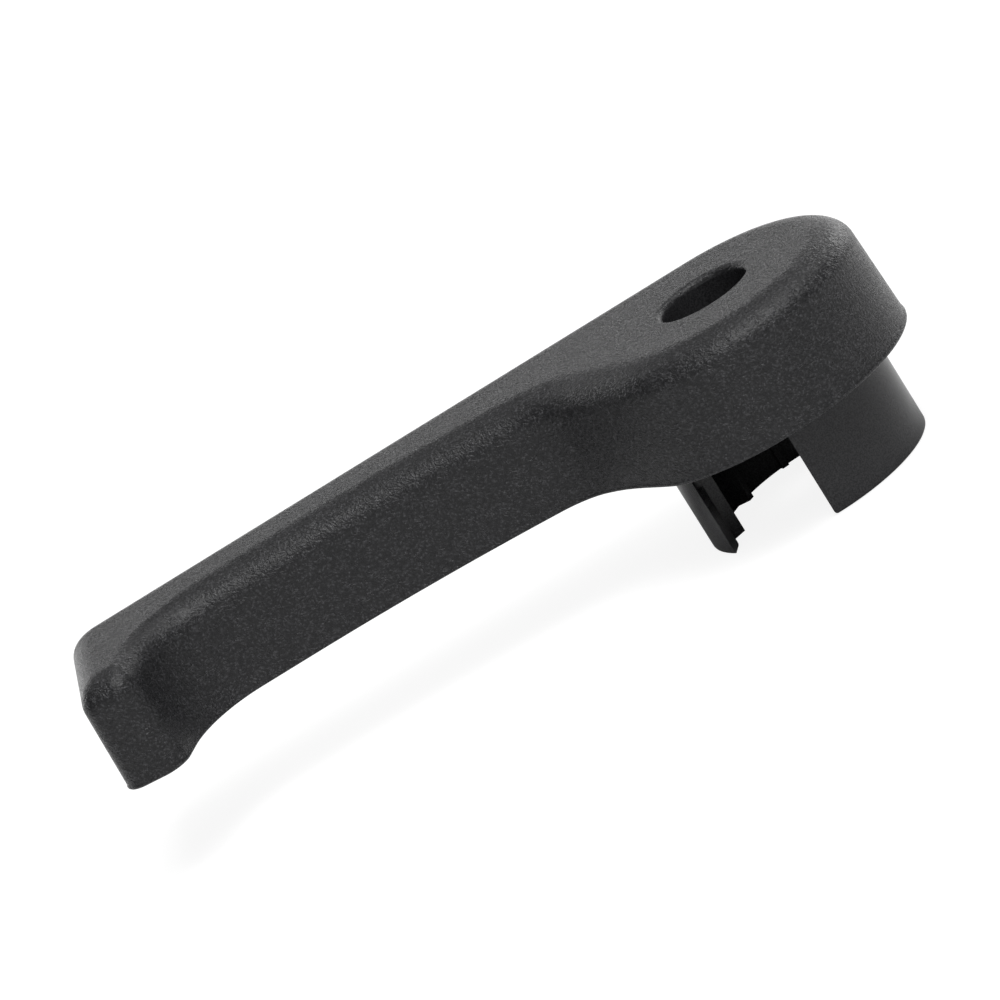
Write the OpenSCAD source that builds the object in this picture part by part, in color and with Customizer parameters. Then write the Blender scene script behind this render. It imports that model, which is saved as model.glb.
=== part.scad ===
// Hood release handle, a one-piece plastic moulding that screws onto the release mechanism's lever.
// Millimetres. The origin is on the hub's axis, in the plane of the head's lower rim.
// +Z runs up the hub's axis out of the top face, the arm points along -X, and the foot that
// the fingers pull turns out towards -Y.

/* [Head and arm] */
// Radius of the round head at its lower rim
head_r = 22; // [19:0.5:25]
// Height of the flat top face over the head's lower rim
head_h = 17.1; // [14:0.1:20]
// Distance from the hub's axis to the tip of the arm
arm_reach = 100.8; // [95:0.1:118]
// Width of the arm at its middle
arm_w = 18.4; // [16:0.1:21]
// Height of the arm's lower edge over the head's lower rim
arm_lift = 1.1; // [0.4:0.1:2.5]
// Angle of the stretch next to the head, against the arm's straight back, in degrees
taper_angle = 11; // [6:0.5:13]
// Distance from the hub's axis at which the two stretches of the front side would meet
taper_x = 51.8; // [48:0.1:56]
// Radius of the long hollow that joins these two stretches
waist_r = 200; // [120:5:205]
// Angle on the head, from the arm's direction, at which the neck leaves the round
neck_angle = 39; // [34:0.5:44]
// Radius of the hollow between the neck and the arm
neck_r = 12; // [8:0.5:14]
// Taper of all side walls, in degrees
draft = 2.4; // [0.5:0.1:4]

/* [Foot] */
// Reach of the foot's front corner in front of the hub's axis
foot_out = 9.4; // [5:0.1:13]
// Length of the foot's front edge along the arm
foot_w = 8.5; // [8:0.1:11]
// Angle by which the front edge falls back towards the tip, in degrees
foot_slant = 16; // [8:0.5:20]
// Angle of the foot's inner flank, against the arm, in degrees
flank_angle = 67.5; // [60:0.5:75]
// Radius of the hollow between arm and foot
flank_r = 12; // [8:0.5:13]
// Plan radius of the foot's inner corner
foot_corner_r = 3.5; // [2:0.1:4]
// Plan radius of the foot's outer corner
tip_corner_r = 3.4; // [1.5:0.1:3.6]
// Plan radius of the tip's back corner
back_corner_r = 5; // [3:0.1:7]

/* [Top edge] */
// Width of the large rounding along the top edge, seen from above
edge_w = 5.7; // [4:0.1:6]
// Height of that rounding
edge_h = 4; // [3:0.1:5]
// Its width on the foot's front and on the end face
edge_tip_w = 4.5; // [3:0.1:4.6]
// Its width on the foot's inner flank
edge_flank_w = 3.5; // [2.5:0.1:3.6]

/* [Hub] */
// Outer radius of the skirt under the head
skirt_r = 16.7; // [15:0.1:18]
// Depth of the skirt under the head's lower rim
skirt_h = 14.3; // [8:0.1:20]
// Wall of the skirt
skirt_wall = 2.2; // [1.8:0.1:3]
// Radius of the screw head's well in the top face
well_r = 6.5; // [5:0.1:7.5]
// Radius of the rounding along the well's edge
well_edge = 1; // [0.4:0.1:1.4]
// Radius of the clearance hole for the fixing screw
screw_r = 3.2; // [2.6:0.1:4]
// Thickness of the floor that the screw clamps; its underside, the seat, is level with the rim
floor_t = 3; // [2:0.1:5]

/* [Window and ribs of the skirt] */
// Left end of the window at the skirt's outside, before the hub's axis
window_x = 14.5; // [12:0.1:15]
// Right edge of the window, left of the hub's axis
window_right = 0.2; // [0:0.1:4]
// Angle by which the window's left face turns from the front-to-back direction, in degrees
window_turn = 17; // [10:0.5:22]
// Depth of the small pocket at the top of the window's left face
pocket_d = 0.8; // [0.4:0.1:1]
// Height of that pocket
pocket_h = 4.6; // [2:0.1:6]
// Height of the large ribs inside the skirt
rib_h = 1.9; // [0.8:0.1:2.2]
// Height of the small ribs inside the skirt
small_rib_h = 0.8; // [0.4:0.1:1.2]
// Width of the ribs at their crest
rib_w = 1; // [0.8:0.1:2]
// Distance of the ribs from the skirt's lower end
rib_lead = 0.7; // [0.7:0.1:3]
// Break of the skirt's lower edges, outside and inside
skirt_edge = 0.3; // [0.2:0.1:0.6]

/* [Underside of the arm] */
// Thickness of the arm's walls round the open underside
arm_wall = 2.5; // [2:0.1:3]
// Thickness of the skin under the top face
top_skin = 3.2; // [2.5:0.1:4]
// Distance from the hub's axis at which the hollow starts
hollow_x = 27; // [26:0.5:32]

/* [Hidden] */

// Side wall up to the start of the top edge's rounding
wall_top = head_h - edge_h;
arm_front = head_r - arm_w;
foot_tip_y = -foot_out + foot_w * tan(foot_slant);
flank_run = (foot_out + arm_front) / tan(flank_angle);
foot_x = -arm_reach + foot_w;
taper_y = function(x) arm_front - (x + taper_x) * tan(taper_angle);

// Line of the neck: it touches the head's round at neck_angle and runs on to the arm's front side
neck_dir = [-sin(neck_angle), cos(neck_angle)];
neck_at = [-head_r * cos(neck_angle), -head_r * sin(neck_angle)];
neck_run = (taper_y(neck_at.x) - neck_at.y) / (neck_dir.y + neck_dir.x * tan(taper_angle));
round_run = head_r * tan((90 - neck_angle) / 2);

// Corners of the outline at the head's rim, anticlockwise from above: place, radius (negative
// where the outline is hollow), radius left at the top face, number of steps, and 1 where the
// corner starts on the last point of the one before
top_r = head_r - wall_top * tan(draft) - edge_w;
corners = [
    [[head_r, head_r], head_r, top_r, 24, 1],
    [[-arm_reach, head_r], back_corner_r, 1.2, 10, 0],
    [[-arm_reach, foot_tip_y], tip_corner_r, 0.5, 9, 0],
    [[foot_x, -foot_out], foot_corner_r, 0.5, 9, 0],
    [[foot_x + flank_run, arm_front], -flank_r, -flank_r - edge_tip_w, 12, 0],
    [[-taper_x, arm_front], -waist_r, -waist_r - edge_w, 10, 0],
    [neck_at + neck_run * neck_dir, -neck_r, -neck_r - edge_w, 12, 0],
    [[-round_run, -head_r], head_r, top_r, 14, 0],
    [[head_r, -head_r], head_r, top_r, 24, 1]
];
N = len(corners);
// Width of the top edge's rounding on the side that follows each corner
side_edge = [edge_w, edge_tip_w, edge_tip_w, edge_flank_w, edge_w, edge_w, edge_w, edge_w, edge_w];

function unit(v) = v / norm(v);
function left(v) = [-v.y, v.x];
function cross2(a, b) = a.x * b.y - a.y * b.x;
function side_dir(i) = unit(corners[(i + 1) % N][0] - corners[i % N][0]);

// Corner i when the sides before and after it move inwards by a and b
function moved(i, a, b) =
    let (p = side_dir(i + N - 1), q = side_dir(i),
         s = corners[i][0] + a * left(p), t = corners[i][0] + b * left(q))
    s + p * (cross2(t - s, q) / cross2(p, q));

// Points of the rounded corner i of radius r about its corner place c
function rounded(i, c, r) =
    let (p = side_dir(i + N - 1), q = side_dir(i),
         turn = asin(cross2(p, q)), k = corners[i][3], first = corners[i][4],
         m = c - p * (abs(r) * tan(abs(turn) / 2)) + left(p) * r,
         a0 = atan2(-left(p).y * sign(r), -left(p).x * sign(r)))
    [for (j = [first:k]) m + abs(r) * [cos(a0 + turn * j / k), sin(a0 + turn * j / k)]];

// Outline with its sides moved in by the taper d and the share u of the top edge's rounding
function outline(d, u) = [
    for (i = [0:N - 1])
        let (a = d + u * side_edge[(i + N - 1) % N], b = d + u * side_edge[i],
             r0 = corners[i][1] - d, r = r0 + (corners[i][2] - r0) * u)
        each rounded(i, moved(i, a, b), r)
];

// Number of outline points before corner i
function points_before(i) = i == 0 ? 0 : points_before(i - 1) + corners[i - 1][3] + 1 - corners[i - 1][4];

// Rings of the outer skin: height, taper and share of the rounding
edge_steps = 10;
rings = concat(
    [[0, 0, 0], [wall_top, wall_top * tan(draft), 0]],
    [for (j = [1:edge_steps]) let (f = 90 * j / edge_steps)
        [wall_top + edge_h * sin(f), wall_top * tan(draft), 1 - cos(f)]]
);

// Solid skin of head, arm and foot with its tapered sides and large top edge
module skin() {
    layers = [for (g = rings) let (o = outline(g[1], g[2])) [for (p = o) [p.x, p.y, g[0]]]];
    n = len(layers[0]);
    m = len(layers);
    // The flat ends are split at the waist, so that each part fans out from one of its points
    a = corners[0][3] - 1;
    w = points_before(5);
    tip = [for (k = [a + 1:w]) k];
    head = concat([for (k = [w:n - 1]) k], [for (k = [0:a - 1]) k]);
    b = (m - 1) * n;
    polyhedron(
        points = [for (l = layers) each l],
        faces = concat(
            [concat(tip, [a]), concat([a], head)],
            [for (j = [0:m - 2], k = [0:n - 1])
                [j * n + k, (j + 1) * n + k, (j + 1) * n + (k + 1) % n, j * n + (k + 1) % n]],
            [concat([b + a + 1, b + a], [for (k = [w:-1:a + 2]) b + k]),
             concat([b + a], [for (k = [len(head) - 1:-1:0]) b + head[k]])]
        )
    );
}

// Space under the arm: its lower edge lies a little above the head's rim
module lift_cut() {
    ramp = 9;
    start = -head_r * cos(neck_angle) + 2.6;
    translate([0, head_r + 5, 0]) rotate([90, 0, 0])
        linear_extrude(height = head_r + foot_out + 10)
            polygon([[start, 0], [start - ramp, arm_lift], [-arm_reach - 5, arm_lift],
                     [-arm_reach - 5, -5], [start, -5]]);
}

// Open hollow in the arm's underside
module arm_hollow() {
    e = wall_top * tan(draft) + arm_wall;
    waist = moved(5, e, e);
    along = side_dir(5);
    translate([0, 0, -1]) linear_extrude(height = head_h - top_skin + 1)
        polygon(concat([for (i = [1:5]) moved(i, e, e)],
                       [waist + along * ((-hollow_x - waist.x) / along.x),
                        [-hollow_x, head_r - e]]));
}

// Tube under the head that fits over the lever's boss, with its lower edges broken
module tube() {
    r = skirt_r - skirt_wall;
    rotate_extrude($fn = 96)
        polygon([[r + skirt_edge, -skirt_h], [skirt_r - skirt_edge, -skirt_h],
                 [skirt_r, -skirt_h + skirt_edge], [skirt_r, 1], [r, 1],
                 [r, -skirt_h + skirt_edge]]);
}

// One rib of height h along the inside of the skirt, at the angle a
module rib(a, h) {
    r = skirt_r - skirt_wall;
    rotate([0, 0, a]) translate([0, 0, -skirt_h + rib_lead])
        linear_extrude(height = skirt_h - rib_lead + 1)
            polygon([[r + 0.6, -rib_w / 2 - 0.2], [r - h, -rib_w / 2], [r - h, rib_w / 2],
                     [r + 0.6, rib_w / 2 + 0.2]]);
}

// Window in the front of the skirt, with the small pocket at the top of its left face
module window_cut() {
    slope = tan(window_turn);
    y0 = -sqrt(pow(skirt_r, 2) - pow(window_x, 2));
    back = -5;
    translate([0, 0, -skirt_h - 1]) linear_extrude(height = skirt_h + 1)
        polygon([[-window_right, y0 - 15], [-window_right, back],
                 [-window_x + slope * (back - y0), back], [-window_x - slope * 15, y0 - 15]]);
    translate([-window_x + slope * 1.4 - pocket_d, y0 + 0.8, -pocket_h])
        cube([pocket_d + 1.5, 2.2, pocket_h]);
}

module skirt() {
    difference() {
        union() {
            tube();
            for (a = [190, 138, -10, 42]) rib(a, rib_h);
            for (a = [102, 78]) rib(a, small_rib_h);
        }
        window_cut();
    }
}

// Rounding of the well's edge, as the ring that is taken out
module well_rounding() {
    steps = 6;
    rotate_extrude($fn = 96)
        polygon(concat(
            [[well_r - 1, head_h + 1], [well_r - 1, head_h - well_edge]],
            [for (j = [0:steps]) let (f = 90 * j / steps)
                [well_r + well_edge * (1 - cos(f)), head_h - well_edge * (1 - sin(f))]],
            [[well_r + well_edge, head_h + 1]]
        ));
}

// Head, arm and foot, with the screw hole and the well for the screw's head
module grip() {
    difference() {
        difference() {
            skin();
            lift_cut();
        }
        arm_hollow();
        translate([0, 0, -1]) cylinder(h = floor_t + 2, r = screw_r, $fn = 48);
        translate([0, 0, floor_t]) cylinder(h = head_h, r = well_r, $fn = 96);
        well_rounding();
    }
}

module handle() {
    color([0.13, 0.13, 0.135]) {
        grip();
        skirt();
    }
}

handle();
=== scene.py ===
import math

import bmesh
import bpy
from mathutils import Matrix, Vector


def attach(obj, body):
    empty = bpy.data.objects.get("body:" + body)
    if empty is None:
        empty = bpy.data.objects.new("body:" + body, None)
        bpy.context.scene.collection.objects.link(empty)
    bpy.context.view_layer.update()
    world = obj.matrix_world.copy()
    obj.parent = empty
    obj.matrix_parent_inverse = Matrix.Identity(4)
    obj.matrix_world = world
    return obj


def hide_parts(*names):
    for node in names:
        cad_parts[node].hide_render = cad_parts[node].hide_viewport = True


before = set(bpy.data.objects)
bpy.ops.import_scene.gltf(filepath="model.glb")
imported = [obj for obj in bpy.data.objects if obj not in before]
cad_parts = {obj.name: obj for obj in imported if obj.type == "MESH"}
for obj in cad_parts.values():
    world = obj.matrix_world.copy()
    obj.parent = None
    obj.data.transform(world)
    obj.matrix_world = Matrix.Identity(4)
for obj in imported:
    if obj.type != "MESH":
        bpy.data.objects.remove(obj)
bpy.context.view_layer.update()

scene = bpy.context.scene
MM = 0.001


# Camera: a long lens a little above the plane of the arm, rolled so that the head is at the
# upper right of the picture
def make_camera():
    azimuth, elevation, roll = math.radians(2.84), math.radians(16.2), math.radians(32.38)
    aim = Vector((-38, 0, 0))
    distance = 1000
    right = Vector((math.cos(azimuth), math.sin(azimuth), 0))
    look = Vector((-math.sin(azimuth) * math.cos(elevation),
                   math.cos(azimuth) * math.cos(elevation), -math.sin(elevation)))
    up = right.cross(look)
    picture_right = right * math.cos(roll) - up * math.sin(roll)
    picture_up = right * math.sin(roll) + up * math.cos(roll)
    place = (aim + 0.13 * right + 6.79 * up - distance * look) * MM
    data = bpy.data.cameras.new("photo_camera")
    data.sensor_width = 36
    data.lens = 36 * 7.4
    data.clip_start, data.clip_end = 0.05, 20
    camera = bpy.data.objects.new("photo_camera", data)
    scene.collection.objects.link(camera)
    turn = Matrix((picture_right, picture_up, -look)).transposed()
    camera.matrix_world = Matrix.Translation(place) @ turn.to_4x4()
    scene.camera = camera


make_camera()

# Sizes of the moulding in millimetres, as in the part's source
HEAD_R, HEAD_H = 22, 17.1
ARM_REACH, ARM_W, ARM_LIFT = 100.8, 18.4, 1.1
TAPER_ANGLE, TAPER_X, WAIST_R = math.radians(11), 51.8, 200
NECK_ANGLE, NECK_R = math.radians(39), 12
DRAFT = math.tan(math.radians(2.4))
FOOT_OUT, FOOT_W, FOOT_SLANT = 9.4, 8.5, math.radians(16)
FLANK_ANGLE, FLANK_R = math.radians(67.5), 12
FOOT_CORNER_R, TIP_CORNER_R, BACK_CORNER_R = 3.5, 3.4, 5
EDGE_W, EDGE_H, EDGE_TIP_W, EDGE_FLANK_W = 5.7, 4, 4.5, 3.5
SKIRT_R, SKIRT_H, SKIRT_WALL, SKIRT_EDGE = 16.7, 14.3, 2.2, 0.3
WELL_R, WELL_EDGE, SCREW_R, FLOOR_T = 6.5, 1.0, 3.2, 3
WINDOW_X, WINDOW_RIGHT, WINDOW_TURN = 14.5, 0.2, math.radians(17)
POCKET_D, POCKET_H = 0.8, 4.6
RIB_H, SMALL_RIB_H, RIB_W, RIB_LEAD = 2.3, 0.8, 1.0, 0.1
ARM_WALL, TOP_SKIN, HOLLOW_X = 2.5, 3.2, 27

# Finer shapes that only the looks have
RIM_R = 0.45
LIP, LIP_H = 0.13, 0.35
EDGE_STEPS = 14
HOLLOW_CORNER_R = 1.6
WINDOW_CORNER_R = 0.6
RIB_SLOPE = 0.3

WALL_TOP = HEAD_H - EDGE_H
ARM_FRONT = HEAD_R - ARM_W
LIFT_START, LIFT_RAMP = -HEAD_R * math.cos(NECK_ANGLE) + 2.6, 9


# Outline of head, arm and foot, seen from above
def outline_corners():
    """Place, radius, radius left at the top face and number of steps of each corner."""
    foot_tip_y = -FOOT_OUT + FOOT_W * math.tan(FOOT_SLANT)
    flank_run = (FOOT_OUT + ARM_FRONT) / math.tan(FLANK_ANGLE)
    foot_x = -ARM_REACH + FOOT_W
    neck_dir = Vector((-math.sin(NECK_ANGLE), math.cos(NECK_ANGLE)))
    neck_at = Vector((-HEAD_R * math.cos(NECK_ANGLE), -HEAD_R * math.sin(NECK_ANGLE)))
    taper_y = ARM_FRONT - (neck_at.x + TAPER_X) * math.tan(TAPER_ANGLE)
    neck_run = (taper_y - neck_at.y) / (neck_dir.y + neck_dir.x * math.tan(TAPER_ANGLE))
    round_run = HEAD_R * math.tan((math.pi / 2 - NECK_ANGLE) / 2)
    top_r = HEAD_R - WALL_TOP * DRAFT - EDGE_W
    return [
        (Vector((HEAD_R, HEAD_R)), HEAD_R, top_r, 30),
        (Vector((-ARM_REACH, HEAD_R)), BACK_CORNER_R, 1.2, 14),
        (Vector((-ARM_REACH, foot_tip_y)), TIP_CORNER_R, 0.5, 12),
        (Vector((foot_x, -FOOT_OUT)), FOOT_CORNER_R, 0.5, 12),
        (Vector((foot_x + flank_run, ARM_FRONT)), -FLANK_R, -FLANK_R - EDGE_TIP_W, 16),
        (Vector((-TAPER_X, ARM_FRONT)), -WAIST_R, -WAIST_R - EDGE_W, 12),
        (neck_at + neck_run * neck_dir, -NECK_R, -NECK_R - EDGE_W, 16),
        (Vector((-round_run, -HEAD_R)), HEAD_R, top_r, 18),
        (Vector((HEAD_R, -HEAD_R)), HEAD_R, top_r, 30),
    ]


CORNERS = outline_corners()
# Width of the top edge's rounding on the side that follows each corner
SIDE_EDGE = [EDGE_W, EDGE_TIP_W, EDGE_TIP_W, EDGE_FLANK_W] + [EDGE_W] * 5


def side_dir(i):
    return (CORNERS[(i + 1) % 9][0] - CORNERS[i % 9][0]).normalized()


def left(v):
    return Vector((-v.y, v.x))


def moved(i, a, b):
    """Corner i when the sides before and after it move inwards by a and b."""
    p, q = side_dir(i - 1), side_dir(i)
    s, t = CORNERS[i][0] + a * left(p), CORNERS[i][0] + b * left(q)
    return s + p * ((t - s).cross(q) / p.cross(q))


def add_ring(bm, height, inset, share):
    """A closed ring of edges at one height, in which each corner is an arc spun from its start."""
    first = last = None
    for i in range(9):
        r = CORNERS[i][1] - inset
        r += (CORNERS[i][2] - r) * share
        p, q = side_dir(i - 1), side_dir(i)
        turn = math.asin(p.cross(q))
        corner = moved(i, inset + share * SIDE_EDGE[i - 1], inset + share * SIDE_EDGE[i])
        start = corner - p * (abs(r) * math.tan(abs(turn) / 2))
        centre = start + left(p) * r
        vert = bm.verts.new((start.x, start.y, height))
        made = bmesh.ops.spin(bm, geom=[vert], cent=(centre.x, centre.y, height), axis=(0, 0, 1),
                              angle=turn, steps=CORNERS[i][3])
        if last is not None:
            bm.edges.new((last, vert))
        first = first or vert
        last = made["geom_last"][0]
    bm.edges.new((last, first))


def edges_at(bm, height):
    return [e for e in bm.edges if all(abs(v.co.z - height) < 1e-4 for v in e.verts)]


def lift(x):
    """Height of the lower rim over the head's: it rises in a soft ramp under the arm."""
    t = min(1, max(0, (LIFT_START - x) / LIFT_RAMP))
    return ARM_LIFT * t * t * (3 - 2 * t)


# The closed outer skin: rings from the rounded lower rim up to the edge of the top face
def skin():
    bm = bmesh.new()
    levels = []
    for j in range(4):
        f = math.pi / 2 * j / 3
        z = RIM_R * (1 - math.cos(f))
        levels.append((z, z * DRAFT + RIM_R * (1 - math.sin(f)) - LIP, 0))
    for j in range(6):
        z = RIM_R + LIP_H + (WALL_TOP - RIM_R - LIP_H) * j / 5
        levels.append((z, z * DRAFT, 0))
    for j in range(1, EDGE_STEPS + 1):
        f = math.pi / 2 * j / EDGE_STEPS
        levels.append((WALL_TOP + EDGE_H * math.sin(f), WALL_TOP * DRAFT, 1 - math.cos(f)))
    for level in levels:
        add_ring(bm, *level)
    bmesh.ops.remove_doubles(bm, verts=bm.verts[:], dist=1e-4)
    rings = [edges_at(bm, level[0]) for level in levels]
    for low, high in zip(rings, rings[1:]):
        bmesh.ops.bridge_loops(bm, edges=low + high)
    for cap in (rings[0], rings[-1]):
        bmesh.ops.contextual_create(bm, geom=cap)
    # Cuts across the arm let the lower rim follow its ramp
    cuts = [LIFT_START - LIFT_RAMP * k / 8 for k in range(9)] + [-30 - 6 * k for k in range(12)]
    for x in cuts:
        bmesh.ops.bisect_plane(bm, geom=bm.verts[:] + bm.edges[:] + bm.faces[:], dist=1e-4,
                               plane_co=(x, 0, 0), plane_no=(1, 0, 0))
    for v in bm.verts:
        if v.co.z < WALL_TOP:
            v.co.z += lift(v.co.x) * (1 - v.co.z / WALL_TOP)
    bmesh.ops.recalc_face_normals(bm, faces=bm.faces[:])
    return as_object("handle_skin", bm)


def as_object(name, bm):
    mesh = bpy.data.meshes.new(name)
    bm.to_mesh(mesh)
    bm.free()
    obj = bpy.data.objects.new(name, mesh)
    scene.collection.objects.link(obj)
    return obj


def raise_face(bm, face, rise):
    """Extrudes a face straight up by rise and gives the new upper face."""
    made = bmesh.ops.extrude_face_region(bm, geom=[face])["geom"]
    bmesh.ops.translate(bm, vec=(0, 0, rise), verts=[g for g in made if isinstance(g, bmesh.types.BMVert)])
    return next(g for g in made if isinstance(g, bmesh.types.BMFace))


def prism(points, low, high, corner_r=0):
    """A bmesh with an upright prism over a polygon, and its upper face."""
    bm = bmesh.new()
    verts = [bm.verts.new((p[0], p[1], low)) for p in points]
    face = bm.faces.new(verts)
    if corner_r:
        bmesh.ops.bevel(bm, geom=verts, affect="VERTICES", offset=corner_r, segments=5, profile=0.5,
                        material=-1)
        face = bm.faces[:][0] if len(bm.faces) == 1 else max(bm.faces, key=lambda f: f.calc_area())
    if face.normal.z > 0:
        face.normal_flip()
    return bm, raise_face(bm, face, high - low)


# Open hollow under the arm, as the solid that is taken out
def arm_hollow():
    e = WALL_TOP * DRAFT + ARM_WALL
    waist = moved(5, e, e)
    along = side_dir(5)
    points = [moved(i, e, e) for i in range(1, 6)]
    points += [waist + along * ((-HOLLOW_X - waist.x) / along.x), Vector((-HOLLOW_X, HEAD_R - e))]
    bm, top = prism(points, -2, HEAD_H - TOP_SKIN, HOLLOW_CORNER_R)
    bmesh.ops.bevel(bm, geom=top.edges[:], affect="EDGES", offset=1, segments=4, profile=0.5, material=-1,
                    clamp_overlap=True)
    bmesh.ops.recalc_face_normals(bm, faces=bm.faces[:])
    return as_object("arm_hollow", bm)


def revolve(profile, steps=128):
    """A bmesh turned from a profile of radius and height about the hub's axis."""
    bm = bmesh.new()
    verts = [bm.verts.new((r, 0, z)) for r, z in profile]
    edges = [bm.edges.new(pair) for pair in zip(verts, verts[1:])]
    if profile[0][0] > 0:
        edges.append(bm.edges.new((verts[-1], verts[0])))
    bmesh.ops.spin(bm, geom=verts + edges, cent=(0, 0, 0), axis=(0, 0, 1), angle=math.tau, steps=steps,
                   use_merge=True)
    bmesh.ops.remove_doubles(bm, verts=bm.verts[:], dist=1e-4)
    bmesh.ops.recalc_face_normals(bm, faces=bm.faces[:])
    return bm


def quarter(centre_r, centre_z, radius, start, end, steps):
    """Points of an arc in a profile, from one angle to another in degrees."""
    return [(centre_r + radius * math.cos(math.radians(start + (end - start) * k / steps)),
             centre_z + radius * math.sin(math.radians(start + (end - start) * k / steps)))
            for k in range(steps + 1)]


# Screw hole and well with its broken edge, as the solid that is taken out
def well():
    profile = [(0, -1), (SCREW_R, -1), (SCREW_R, FLOOR_T - 0.3), (SCREW_R + 0.3, FLOOR_T)]
    profile += quarter(WELL_R - 0.5, FLOOR_T + 0.5, 0.5, -90, 0, 4)
    profile += quarter(WELL_R + WELL_EDGE, HEAD_H - WELL_EDGE, WELL_EDGE, 180, 90, 5)
    profile += [(WELL_R + WELL_EDGE, HEAD_H + 1), (0, HEAD_H + 1)]
    return as_object("well", revolve(profile))


# Skirt: a tube with rounded lower edges, less its window and pocket, with the ribs inside
def skirt():
    inner = SKIRT_R - SKIRT_WALL
    profile = [(inner, 1), (SKIRT_R, 1)]
    profile += quarter(SKIRT_R - SKIRT_EDGE, -SKIRT_H + SKIRT_EDGE, SKIRT_EDGE, 0, -90, 3)
    profile += quarter(inner + SKIRT_EDGE, -SKIRT_H + SKIRT_EDGE, SKIRT_EDGE, -90, -180, 3)
    tube = as_object("skirt", revolve(profile, 144))
    slope = math.tan(WINDOW_TURN)
    y0 = -math.sqrt(SKIRT_R ** 2 - WINDOW_X ** 2)
    back = -5
    window, _ = prism([(-WINDOW_RIGHT, y0 - 15), (-WINDOW_RIGHT, back),
                       (-WINDOW_X + slope * (back - y0), back), (-WINDOW_X - slope * 15, y0 - 15)],
                      -SKIRT_H - 1, 0.5)
    bmesh.ops.recalc_face_normals(window, faces=window.faces[:])
    combine(tube, as_object("window", window), "DIFFERENCE")
    combine(tube, window_corner(y0), "DIFFERENCE")
    x, y = -WINDOW_X + slope * 1.4 - POCKET_D, y0 + 0.8
    pocket, _ = prism([(x, y), (x + POCKET_D + 1.5, y), (x + POCKET_D + 1.5, y + 2.2), (x, y + 2.2)],
                      -POCKET_H, 0.5)
    bmesh.ops.recalc_face_normals(pocket, faces=pocket.faces[:])
    combine(tube, as_object("pocket", pocket), "DIFFERENCE")
    for angle, height in ((190, RIB_H), (138, RIB_H), (-10, RIB_H), (42, RIB_H),
                          (102, SMALL_RIB_H), (78, SMALL_RIB_H)):
        rib, _ = prism([(inner + 0.6, -RIB_W / 2 - 0.2), (inner - height, -RIB_W / 2),
                        (inner - height, RIB_W / 2), (inner + 0.6, RIB_W / 2 + 0.2)],
                       -SKIRT_H + RIB_LEAD, 0.7)
        for v in rib.verts:
            if v.co.z < -SKIRT_H + RIB_LEAD + 0.01 and v.co.x < inner and height == RIB_H:
                v.co.z += RIB_SLOPE
        bmesh.ops.rotate(rib, cent=(0, 0, 0), matrix=Matrix.Rotation(math.radians(angle), 3, "Z"),
                         verts=rib.verts[:])
        bmesh.ops.recalc_face_normals(rib, faces=rib.faces[:])
        combine(tube, as_object("rib", rib), "UNION")
    return tube


def window_corner(y0):
    """What is taken off to round the lower corner at the window's right edge."""
    bm = bmesh.new()
    r, x, z = WINDOW_CORNER_R, -WINDOW_RIGHT, -SKIRT_H
    points = [(x - 1, z - 1), (x + r, z - 1)] + quarter(x + r, z + r, r, -90, -180, 5) + [(x - 1, z + r)]
    face = bm.faces.new([bm.verts.new((a, y0 - 15, b)) for a, b in points])
    made = bmesh.ops.extrude_face_region(bm, geom=[face])["geom"]
    bmesh.ops.translate(bm, vec=(0, 18, 0), verts=[g for g in made if isinstance(g, bmesh.types.BMVert)])
    bmesh.ops.recalc_face_normals(bm, faces=bm.faces[:])
    return as_object("window_corner", bm)


def combine(obj, other, operation):
    """Applies a boolean of obj with other, and drops other."""
    modifier = obj.modifiers.new("combine", "BOOLEAN")
    modifier.operation, modifier.object, modifier.solver = operation, other, "EXACT"
    settle(obj)
    bpy.data.objects.remove(other)


def settle(obj):
    """Takes the mesh that the modifiers make as the object's own."""
    graph = bpy.context.evaluated_depsgraph_get()
    mesh = bpy.data.meshes.new_from_object(obj.evaluated_get(graph))
    obj.modifiers.clear()
    obj.data = mesh


# Materials
class Wire:
    """An output socket. Sums, differences and products of wires and numbers add Math nodes."""

    def __init__(self, tree, socket=None):
        self.tree, self.socket = tree, socket

    def node(self, kind, settings, inputs, output=0):
        """Adds a node: its settings first, then the values or links of its sockets."""
        made = self.tree.nodes.new(kind)
        for name, value in settings.items():
            if name == "stops":
                for k, (place, colour) in enumerate(value):
                    stop = made.color_ramp.elements[k] if k < 2 else made.color_ramp.elements.new(place)
                    stop.position, stop.color = place, colour
            else:
                setattr(made, name, value)
        for name, value in inputs.items():
            if isinstance(value, Wire):
                self.tree.links.new(value.socket, made.inputs[name])
            else:
                made.inputs[name].default_value = value
        return Wire(self.tree, made.outputs[output]) if made.outputs else None

    def math(self, operation, *values):
        return self.node("ShaderNodeMath", {"operation": operation}, dict(enumerate(values)))

    def __add__(self, other):
        return self.math("ADD", self, other)

    __radd__ = __add__

    def __sub__(self, other):
        return self.math("SUBTRACT", self, other)

    def __rsub__(self, other):
        return self.math("SUBTRACT", other, self)

    def __mul__(self, other):
        return self.math("MULTIPLY", self, other)

    __rmul__ = __mul__

    def step(self, low, high):
        """0 below low and 1 above high, smooth in between."""
        return self.node("ShaderNodeMapRange", {"interpolation_type": "SMOOTHSTEP"},
                         {"Value": self, "From Min": low, "From Max": high, "To Min": 0, "To Max": 1})


def blank_material(name):
    material = bpy.data.materials.new(name)
    material.use_nodes = True
    tree = material.node_tree
    tree.nodes.clear()
    return material, Wire(tree)


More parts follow.
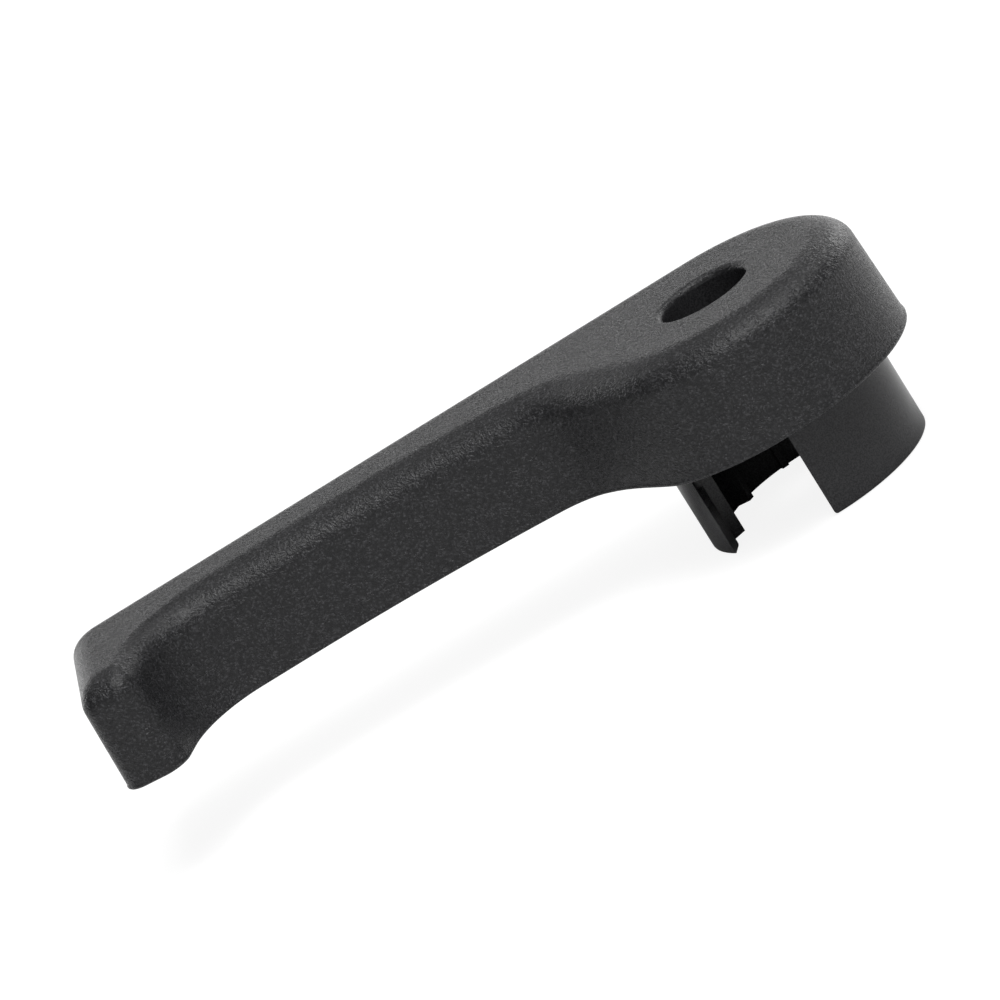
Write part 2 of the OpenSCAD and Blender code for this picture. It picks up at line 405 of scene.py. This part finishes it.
def finish_material(w, colour, roughness, height, distance, ior_level):
    bump = w.node("ShaderNodeBump", {}, {"Height": height, "Distance": distance, "Strength": 1})
    shader = w.node("ShaderNodeBsdfPrincipled", {},
                    {"Base Color": colour, "Roughness": roughness, "Normal": bump,
                     "Specular IOR Level": ior_level})
    w.node("ShaderNodeOutputMaterial", {}, {"Surface": shader})


def millimetres(w):
    """The surface's own place in millimetres."""
    place = w.node("ShaderNodeTexCoord", {}, {}, "Object")
    return w.node("ShaderNodeVectorMath", {"operation": "SCALE"}, {0: place, "Scale": 1000})


def noise(w, place, scale, detail=2, rough=0.5):
    return w.node("ShaderNodeTexNoise", {}, {"Vector": place, "Scale": scale, "Detail": detail,
                                             "Roughness": rough}, "Fac")


def grey_mix(w, factor, dark, light):
    return w.node("ShaderNodeMix", {"data_type": "RGBA"}, {"Factor": factor, 6: dark, 7: light}, 2)


def stretched(w, place, length):
    """The place in a frame whose first axis runs with the grain and is longer than the others."""
    return w.node("ShaderNodeMapping", {"vector_type": "TEXTURE"},
                  {"Vector": place, "Rotation": (0, math.radians(24), math.radians(-26)),
                   "Scale": (length, 1, 1)})


def voronoi(w, place, feature, scale, smoothness=0):
    made = {"Vector": place, "Scale": scale, "Randomness": 1}
    if feature == "SMOOTH_F1":
        made["Smoothness"] = smoothness
    return w.node("ShaderNodeTexVoronoi", {"feature": feature}, made, "Distance")


# Head and arm: black moulded plastic with a leather grain of small pebbles and broken creases that
# run the same way. Its colour is painted lighter on the pebble tops and along the creases and darker
# in the hollows between pebbles: painted highlight and painted shade over a random fine tone
def grained_plastic():
    material, w = blank_material("grained_plastic")
    place = millimetres(w)
    drift = w.node("ShaderNodeTexNoise", {}, {"Vector": place, "Scale": 0.45, "Detail": 2}, "Color")
    drift = w.node("ShaderNodeVectorMath", {"operation": "MULTIPLY_ADD"},
                   {0: drift, 1: (1.6, 1.6, 1.6), 2: place})
    pebbles = voronoi(w, stretched(w, drift, 1.5), "F1", 2.6)
    creases = voronoi(w, stretched(w, drift, 2.6), "DISTANCE_TO_EDGE", 1.5)
    patches = noise(w, place, 0.8, 2).step(0.42, 0.62)
    crease = (1 - creases.step(0.0, 0.13)) * patches
    fine = noise(w, place, 4.2, 2, 0.55)
    dots = fine.step(0.5, 0.68)
    broad = noise(w, place, 0.12, 3)
    height = (1 - pebbles) * 0.55 + fine * 0.45 + dots * 0.15 - crease * 0.5
    # Painted highlight on the pebble tops and painted shade in the hollows between them, over a random fine
    # tone
    tone_and_painted_light = (fine * 1.2 - pebbles * 0.5).step(0.28, 0.8)
    # The creases add a painted highlight along them
    light = tone_and_painted_light + crease * 0.22
    colour = grey_mix(w, light, (0.013, 0.013, 0.0138, 1), (0.06, 0.06, 0.0636, 1))
    roughness = 0.4 + broad * 0.05 - fine.step(0.38, 0.6) * 0.24
    finish_material(w, colour, roughness, height, 0.0001, 0.25)
    return material


# Skirt, well and underside: the same plastic off the smooth parts of the mould
def smooth_plastic():
    material, w = blank_material("smooth_plastic")
    place = millimetres(w)
    fine = noise(w, place, 5, 2)
    broad = noise(w, place, 0.18, 3)
    speckle = fine.step(0.35, 0.65) * 0.8 + broad * 0.2
    colour = grey_mix(w, speckle, (0.01, 0.01, 0.0107, 1), (0.034, 0.034, 0.036, 1))
    roughness = 0.23 + broad * 0.06
    finish_material(w, colour, roughness, fine, 0.00002, 0.25)
    return material


# The moulding
def handle():
    body = skin()
    combine(body, arm_hollow(), "DIFFERENCE")
    combine(body, well(), "DIFFERENCE")
    combine(body, skirt(), "UNION")
    mesh = body.data
    mesh.materials.clear()
    mesh.materials.append(grained_plastic())
    mesh.materials.append(smooth_plastic())
    for face in mesh.polygons:
        c, n = face.center, face.normal
        on_skirt = c.z < -0.01
        in_well = c.xy.length < WELL_R + WELL_EDGE and c.z < HEAD_H - 0.6 * WELL_EDGE
        underneath = n.z < -0.8
        in_hollow = (-ARM_REACH + 1.5 < c.x < -HOLLOW_X + 0.5 and c.z < HEAD_H - TOP_SKIN + 0.01
                     and hidden_under_arm(c))
        face.material_index = 1 if on_skirt or in_well or underneath or in_hollow else 0
        face.use_smooth = True
    mesh.transform(Matrix.Scale(MM, 4))
    mesh.set_sharp_from_angle(angle=math.radians(35))
    body.name = mesh.name = "handle_moulding"
    even = body.modifiers.new("even_shading", "WEIGHTED_NORMAL")
    even.keep_sharp = True
    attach(body, "root")
    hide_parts("handle")
    return body


def hidden_under_arm(c):
    """True for a point well inside the arm's outer walls."""
    depth = 2
    if c.y > HEAD_R - depth - 0.6 or c.x < -ARM_REACH + depth:
        return False
    for i in (2, 3, 4, 5):
        d = side_dir(i)
        if (c.xy - CORNERS[i][0]).dot(left(d)) > depth:
            continue
        if i in (4, 5):
            return False
    return True


handle()


# Soft lights around the handle. Each is a round patch of the world: azimuth from the camera's side
# towards the right, elevation, half-angles inside and outside its soft border, and strength
SOFT_LIGHTS = [
    (0, 44, 3, 13, 1.05), (6, 54, 3, 13, 2.9), (6, 64, 3, 13, 3.8), (6, 74, 3, 13, 2.4),
    (35, 55, 5, 20, 2.51), (325, 55, 5, 20, 0.6), (35, 70, 5, 20, 4.63), (70, 65, 6, 26, 2.99),
    (0, 26, 5, 27, 0.51), (0, 8, 5, 25, 0.59), (325, 8, 5, 25, 0.6), (210, 26, 4, 20, 1),
    (140, 50, 5, 26, 1.29), (180, 50, 5, 26, 0.19), (220, 50, 5, 26, 0.4), (180, 74, 6, 22, 0.5),
    (135, 6, 3, 14, 3.2), (155, 6, 3, 14, 3.6), (175, 6, 3, 14, 1.1), (195, 6, 3, 14, 0.85),
    (215, 6, 3, 14, 3.33), (235, 6, 3, 14, 1.88),
]
FLOOR_GLOW = 0.00


# Floor and light
def make_floor():
    bm = bmesh.new()
    bmesh.ops.create_grid(bm, x_segments=1, y_segments=1, size=1.5)
    bmesh.ops.translate(bm, vec=(0, 0, -SKIRT_H * MM - 0.0001), verts=bm.verts[:])
    floor = as_object("floor", bm)
    material, w = blank_material("pale_floor")
    camera_ray = w.node("ShaderNodeLightPath", {}, {}, "Is Camera Ray")
    pale = floor_finish(w, 0.8, FLOOR_GLOW)
    white = floor_finish(w, 0.2, 0.88)
    mixed = w.node("ShaderNodeMixShader", {}, {0: camera_ray, 1: pale, 2: white})
    w.node("ShaderNodeOutputMaterial", {}, {"Surface": mixed})
    floor.data.materials.append(material)


def floor_finish(w, grey, strength):
    """A grey that takes light and shadow, and a white glow over it."""
    lit = w.node("ShaderNodeBsdfDiffuse", {}, {"Color": (grey, grey, grey, 1)})
    glow = w.node("ShaderNodeEmission", {}, {"Color": (1, 1, 1, 1), "Strength": strength})
    return w.node("ShaderNodeAddShader", {}, {0: lit, 1: glow})


def make_world():
    world = bpy.data.worlds.new("studio")
    scene.world = world
    world.use_nodes = True
    world.node_tree.nodes.clear()
    w = Wire(world.node_tree)
    way = w.node("ShaderNodeTexCoord", {}, {}, "Generated")
    total = 0
    for azimuth, elevation, inner, outer, strength in SOFT_LIGHTS:
        azimuth, elevation = math.radians(azimuth), math.radians(elevation)
        axis = (math.sin(azimuth) * math.cos(elevation), -math.cos(azimuth) * math.cos(elevation),
                math.sin(elevation))
        facing = w.node("ShaderNodeVectorMath", {"operation": "DOT_PRODUCT"}, {0: way, 1: axis}, "Value")
        total = facing.step(math.cos(math.radians(outer)), math.cos(math.radians(inner))) * strength + total
    soft = w.node("ShaderNodeBackground", {}, {"Color": (1, 1, 1, 1), "Strength": total})
    white = w.node("ShaderNodeBackground", {}, {"Color": (1, 1, 1, 1), "Strength": 1})
    camera_ray = w.node("ShaderNodeLightPath", {}, {}, "Is Camera Ray")
    mixed = w.node("ShaderNodeMixShader", {}, {0: camera_ray, 1: soft, 2: white})
    w.node("ShaderNodeOutputWorld", {}, {"Surface": mixed})


make_floor()
make_world()

scene.view_settings.view_transform = "Standard"
